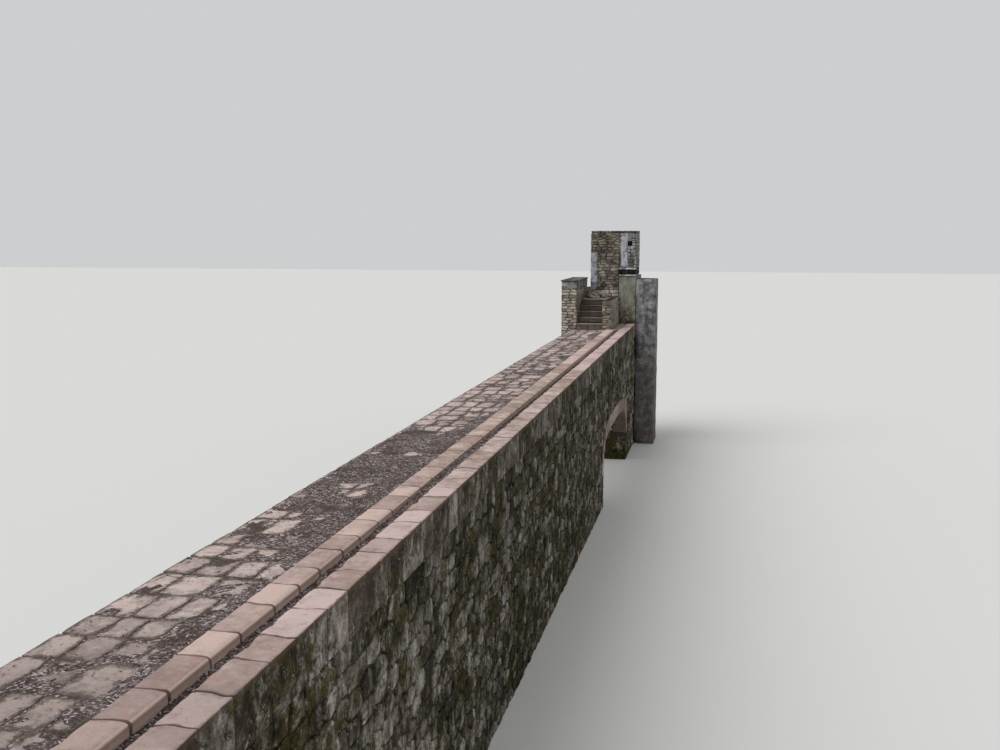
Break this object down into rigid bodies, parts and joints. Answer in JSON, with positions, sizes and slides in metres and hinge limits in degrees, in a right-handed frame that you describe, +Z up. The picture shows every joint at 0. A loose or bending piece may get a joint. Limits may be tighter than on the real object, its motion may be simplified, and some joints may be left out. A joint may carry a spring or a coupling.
{
  "type": "stone causeway bridge with one low arch",
  "caption": "Long straight masonry causeway with a paved crest, kerb, gutter and coping, a low arch, steps and a small gate tower.",
  "frame": {"origin": "on the ground plane, at the middle of the whole object's footprint", "axes": "+Y along the wall towards the arch and tower, +X towards the coping side, +Z up"},
  "size_m": [3.02, 36.8, 7.71],
  "materials": {
    "rubble": "rough mossy rubble with peeling render",
    "sandstone": "rough weathered sandstone",
    "slabstone": "worn paving stone",
    "plaster": "weathered render on masonry"
  },
  "bodies": {
    "root": {"near_wall": "rubble", "middle_wall": "rubble", "far_wall": "rubble", "arch_spandrel": "rubble", "arch_pier": "rubble", "arch_stones_right": "sandstone", "arch_barrel": "rubble", "arch_stones_left": "sandstone", "coping_near": "sandstone", "coping_middle": "sandstone", "coping_far": "sandstone", "kerb_near": "sandstone", "kerb_middle": "sandstone", "kerb_far": "sandstone", "deck_near": "slabstone", "deck_middle": "slabstone", "deck_far": "slabstone", "gutter_bed": "rubble", "pier_head_coping": "sandstone", "pier_head_slab": "slabstone", "left_cheek": "rubble", "cheek_band": "plaster", "cheek_cap": "sandstone", "low_cheek": "rubble", "step_1": "slabstone", "step_2": "slabstone", "step_3": "slabstone", "step_4": "slabstone", "step_5": "slabstone", "landing": "slabstone", "abutment_base": "rubble", "tower_plinth": "rubble", "gate_block": "plaster", "gate_ledge": "sandstone", "tower_lintel": "sandstone", "tower_front_wall": "rubble", "tower_left_wall": "rubble", "tower_right_wall": "rubble", "tower_back_wall": "rubble", "tower_head": "sandstone", "plaster_strips": "plaster", "wing_pier": "plaster"}
  },
  "joints": []
}
